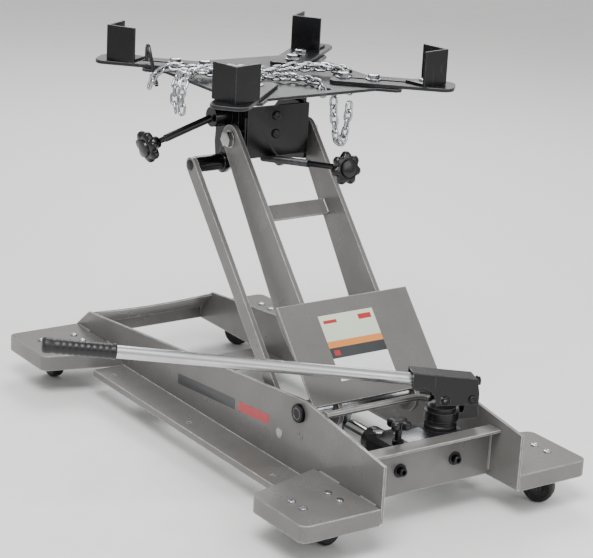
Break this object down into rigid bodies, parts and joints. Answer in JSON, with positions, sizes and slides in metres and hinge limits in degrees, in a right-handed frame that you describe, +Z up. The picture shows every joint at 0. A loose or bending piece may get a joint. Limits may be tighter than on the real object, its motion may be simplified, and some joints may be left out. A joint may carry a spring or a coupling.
{
  "type": "transmission jack",
  "caption": "Wheeled hydraulic floor jack that lifts a gearbox on a tilting saddle with sliding arms and turning corner brackets, kept level by a parallelogram link.",
  "frame": {"origin": "below the middle of the whole object, on the floor", "axes": "+X towards the pump end, +Z up, +Y away from the level link side"},
  "size_m": [0.9, 0.7666, 0.6446],
  "materials": {
    "rail_near": "semi-gloss warm grey paint",
    "rail_far": "semi-gloss warm grey paint",
    "front_cross_plate": "semi-gloss warm grey paint",
    "rear_cross_plate": "semi-gloss warm grey paint",
    "mid_cross_plate": "semi-gloss warm grey paint",
    "pad_front_near": "semi-gloss warm grey paint",
    "pad_front_far": "semi-gloss warm grey paint",
    "pad_rear_near": "semi-gloss warm grey paint",
    "pad_rear_far": "semi-gloss warm grey paint",
    "main_shaft": "zinc-plated steel",
    "link_anchor_pin": "zinc-plated steel",
    "brace_rod": "semi-gloss warm grey paint",
    "pump_block": "black painted casting",
    "lift_cylinder": "black painted casting",
    "caster_plate_front_near": "zinc-plated steel",
    "caster_plate_front_far": "zinc-plated steel",
    "caster_plate_rear_near": "zinc-plated steel",
    "caster_plate_rear_far": "zinc-plated steel",
    "caster_fork_front_near": "zinc-plated steel",
    "caster_wheel_front_near": "matt black",
    "caster_fork_front_far": "zinc-plated steel",
    "caster_wheel_front_far": "matt black",
    "caster_fork_rear_near": "zinc-plated steel",
    "caster_wheel_rear_near": "matt black",
    "caster_fork_rear_far": "zinc-plated steel",
    "caster_wheel_rear_far": "matt black",
    "lift_arm_near": "semi-gloss warm grey paint",
    "lift_arm_far": "semi-gloss warm grey paint",
    "arm_cross_bar": "semi-gloss warm grey paint",
    "cover_plate": "semi-gloss warm grey paint",
    "lift_crank": "zinc-plated steel",
    "lift_ram": "zinc-plated steel",
    "level_link": "semi-gloss warm grey paint",
    "saddle_carrier": "gloss black paint",
    "pivot_bolt_near": "zinc-plated steel",
    "pivot_bolt_far": "zinc-plated steel",
    "link_top_pin": "zinc-plated steel",
    "tilt_cradle": "gloss black paint",
    "tilt_screw_front": "gloss black paint",
    "tilt_knob_front": "black moulded knob",
    "tilt_screw_side": "gloss black paint",
    "tilt_knob_side": "black moulded knob",
    "saddle_plate": "gloss black paint",
    "chain_long": "zinc-plated steel",
    "chain_short": "zinc-plated steel",
    "saddle_arm_near": "gloss black paint",
    "bracket_near": "gloss black paint",
    "saddle_arm_right": "gloss black paint",
    "bracket_right": "gloss black paint",
    "saddle_arm_back": "gloss black paint",
    "bracket_back": "gloss black paint",
    "saddle_arm_left": "gloss black paint",
    "chain_hook": "gloss black paint",
    "bracket_left": "gloss black paint",
    "swivel_bracket": "gloss black paint",
    "pump_plunger": "zinc-plated steel",
    "handle_socket": "gloss black paint",
    "handle_tube": "zinc-plated steel",
    "handle_grip": "matt black",
    "release_valve": "black moulded knob"
  },
  "bodies": {
    "chassis": {"rail_near": "rail_near", "rail_far": "rail_far", "front_cross_plate": "front_cross_plate", "rear_cross_plate": "rear_cross_plate", "mid_cross_plate": "mid_cross_plate", "pad_front_near": "pad_front_near", "pad_front_far": "pad_front_far", "pad_rear_near": "pad_rear_near", "pad_rear_far": "pad_rear_far", "main_shaft": "main_shaft", "link_anchor_pin": "link_anchor_pin", "brace_rod": "brace_rod", "pump_block": "pump_block", "lift_cylinder": "lift_cylinder", "caster_plate_front_near": "caster_plate_front_near", "caster_plate_front_far": "caster_plate_front_far", "caster_plate_rear_near": "caster_plate_rear_near", "caster_plate_rear_far": "caster_plate_rear_far"},
    "fork_front_near": {"caster_fork_front_near": "caster_fork_front_near"},
    "wheel_front_near": {"caster_wheel_front_near": "caster_wheel_front_near"},
    "fork_front_far": {"caster_fork_front_far": "caster_fork_front_far"},
    "wheel_front_far": {"caster_wheel_front_far": "caster_wheel_front_far"},
    "fork_rear_near": {"caster_fork_rear_near": "caster_fork_rear_near"},
    "wheel_rear_near": {"caster_wheel_rear_near": "caster_wheel_rear_near"},
    "fork_rear_far": {"caster_fork_rear_far": "caster_fork_rear_far"},
    "wheel_rear_far": {"caster_wheel_rear_far": "caster_wheel_rear_far"},
    "lift_arms": {"lift_arm_near": "lift_arm_near", "lift_arm_far": "lift_arm_far", "arm_cross_bar": "arm_cross_bar", "cover_plate": "cover_plate", "lift_crank": "lift_crank"},
    "ram": {"lift_ram": "lift_ram"},
    "link": {"level_link": "level_link"},
    "carrier": {"saddle_carrier": "saddle_carrier", "pivot_bolt_near": "pivot_bolt_near", "pivot_bolt_far": "pivot_bolt_far", "link_top_pin": "link_top_pin"},
    "cradle": {"tilt_cradle": "tilt_cradle"},
    "front_screw": {"tilt_screw_front": "tilt_screw_front", "tilt_knob_front": "tilt_knob_front"},
    "side_screw": {"tilt_screw_side": "tilt_screw_side", "tilt_knob_side": "tilt_knob_side"},
    "saddle": {"saddle_plate": "saddle_plate", "chain_long": "chain_long", "chain_short": "chain_short"},
    "arm_near": {"saddle_arm_near": "saddle_arm_near"},
    "corner_near": {"bracket_near": "bracket_near"},
    "arm_right": {"saddle_arm_right": "saddle_arm_right"},
    "corner_right": {"bracket_right": "bracket_right"},
    "arm_back": {"saddle_arm_back": "saddle_arm_back"},
    "corner_back": {"bracket_back": "bracket_back"},
    "arm_left": {"saddle_arm_left": "saddle_arm_left", "chain_hook": "chain_hook"},
    "corner_left": {"bracket_left": "bracket_left"},
    "swivel": {"swivel_bracket": "swivel_bracket"},
    "plunger": {"pump_plunger": "pump_plunger"},
    "handle": {"handle_socket": "handle_socket", "handle_tube": "handle_tube", "handle_grip": "handle_grip"},
    "valve": {"release_valve": "release_valve"}
  },
  "joints": [
    {"name": "lift", "type": "hinge", "parent": "chassis", "child": "lift_arms", "pos_m": [0.24, 0.11934, 0.146], "axis": [0, 1, 0], "range_deg": [-43.8, 12]},
    {"name": "saddle_level", "type": "hinge", "parent": "lift_arms", "child": "carrier", "pos_m": [-0.06207, 0.11934, 0.49106], "axis": [0, 1, 0], "range_deg": [-12, 43.8]},
    {"name": "link_swing", "type": "hinge", "parent": "chassis", "child": "link", "pos_m": [0.19, 0.11934, 0.096], "axis": [0, 1, 0], "range_deg": [-43.8, 12]},
    {"name": "ram_stroke", "type": "slide", "parent": "chassis", "child": "ram", "axis": [-1, 0, 0], "range_m": [-0.0467, 0.0128]},
    {"name": "tilt_fore_aft", "type": "hinge", "parent": "carrier", "child": "cradle", "pos_m": [-0.09, 0.11934, 0.522], "axis": [0, 1, 0], "range_deg": [-8, 8]},
    {"name": "tilt_side", "type": "hinge", "parent": "cradle", "child": "saddle", "pos_m": [-0.08, 0.11934, 0.5645], "axis": [1, 0, 0], "range_deg": [-8, 8]},
    {"name": "front_screw_turn", "type": "hinge", "parent": "carrier", "child": "front_screw", "pos_m": [-0.08, 0.11934, 0.449], "axis": [0.9874, 0, 0.1581], "continuous": true},
    {"name": "side_screw_turn", "type": "hinge", "parent": "cradle", "child": "side_screw", "pos_m": [-0.087, 0.02204, 0.521], "axis": [0.0557, -0.961, -0.2707], "continuous": true},
    {"name": "arm_near_slide", "type": "slide", "parent": "saddle", "child": "arm_near", "axis": [0.6691, -0.7431, 0], "range_m": [-0.022, 0.008]},
    {"name": "corner_near_turn", "type": "hinge", "parent": "arm_near", "child": "corner_near", "pos_m": [0.07323, -0.03784, 0.5886], "axis": [0, 0, 1], "range_deg": [-90, 90]},
    {"name": "arm_right_slide", "type": "slide", "parent": "saddle", "child": "arm_right", "axis": [0.682, 0.7314, 0], "range_m": [-0.031, 0.004]},
    {"name": "corner_right_turn", "type": "hinge", "parent": "arm_right", "child": "corner_right", "pos_m": [0.08232, 0.3064, 0.5886], "axis": [0, 0, 1], "range_deg": [-90, 90]},
    {"name": "arm_back_slide", "type": "slide", "parent": "saddle", "child": "arm_back", "axis": [-0.6428, 0.766, 0], "range_m": [-0.015, 0.015]},
    {"name": "corner_back_turn", "type": "hinge", "parent": "arm_back", "child": "corner_back", "pos_m": [-0.2227, 0.3024, 0.5886], "axis": [0, 0, 1], "range_deg": [-90, 90]},
    {"name": "arm_left_slide", "type": "slide", "parent": "saddle", "child": "arm_left", "axis": [-0.7071, -0.7071, 0], "range_m": [-0.01, 0.004]},
    {"name": "corner_left_turn", "type": "hinge", "parent": "arm_left", "child": "corner_left", "pos_m": [-0.24829, -0.03595, 0.5886], "axis": [0, 0, 1], "range_deg": [-90, 90]},
    {"name": "swivel_front_near", "type": "hinge", "parent": "chassis", "child": "fork_front_near", "pos_m": [0.383, -0.07666, 0.05], "axis": [0, 0, 1], "continuous": true},
    {"name": "roll_front_near", "type": "hinge", "parent": "fork_front_near", "child": "wheel_front_near", "pos_m": [0.37849, -0.05106, 0.025], "axis": [-0.9848, -0.1736, 0], "continuous": true},
    {"name": "swivel_front_far", "type": "hinge", "parent": "chassis", "child": "fork_front_far", "pos_m": [0.383, 0.31534, 0.05], "axis": [0, 0, 1], "continuous": true},
    {"name": "roll_front_far", "type": "hinge", "parent": "fork_front_far", "child": "wheel_front_far", "pos_m": [0.40552, 0.32834, 0.025], "axis": [-0.5, 0.866, 0], "continuous": true},
    {"name": "swivel_rear_near", "type": "hinge", "parent": "chassis", "child": "fork_rear_near", "pos_m": [-0.383, -0.07666, 0.05], "axis": [0, 0, 1], "continuous": true},
    {"name": "roll_rear_near", "type": "hinge", "parent": "fork_rear_near", "child": "wheel_rear_near", "pos_m": [-0.409, -0.07666, 0.025], "axis": [0, -1, 0], "continuous": true},
    {"name": "swivel_rear_far", "type": "hinge", "parent": "chassis", "child": "fork_rear_far", "pos_m": [-0.383, 0.31534, 0.05], "axis": [0, 0, 1], "continuous": true},
    {"name": "roll_rear_far", "type": "hinge", "parent": "fork_rear_far", "child": "wheel_rear_far", "pos_m": [-0.40656, 0.30435, 0.025], "axis": [0.4226, -0.9063, 0], "continuous": true},
    {"name": "handle_swivel", "type": "hinge", "parent": "chassis", "child": "swivel", "pos_m": [0.345, 0.17434, 0.16], "axis": [0, 0, 1], "range_deg": [-10, 50]},
    {"name": "handle_pump", "type": "hinge", "parent": "swivel", "child": "handle", "pos_m": [0.3606, 0.21334, 0.176], "axis": [-0.9285, 0.3714, 0], "range_deg": [-3, 20]},
    {"name": "plunger_stroke", "type": "slide", "parent": "swivel", "child": "plunger", "axis": [0, 0, 1], "range_m": [-0.0023, 0.0148]},
    {"name": "release_turn", "type": "hinge", "parent": "chassis", "child": "valve", "pos_m": [0.369, 0.07634, 0.1283], "axis": [0, 0, 1], "range_deg": [0, 180]}
  ],
  "couplings": [
    {"joint": "saddle_level", "follows": "lift", "ratio": -1},
    {"joint": "link_swing", "follows": "lift", "ratio": 1},
    {"joint": "ram_stroke", "follows": "lift", "m_per_rad": 0.061},
    {"joint": "plunger_stroke", "follows": "handle_pump", "m_per_rad": 0.042}
  ]
}
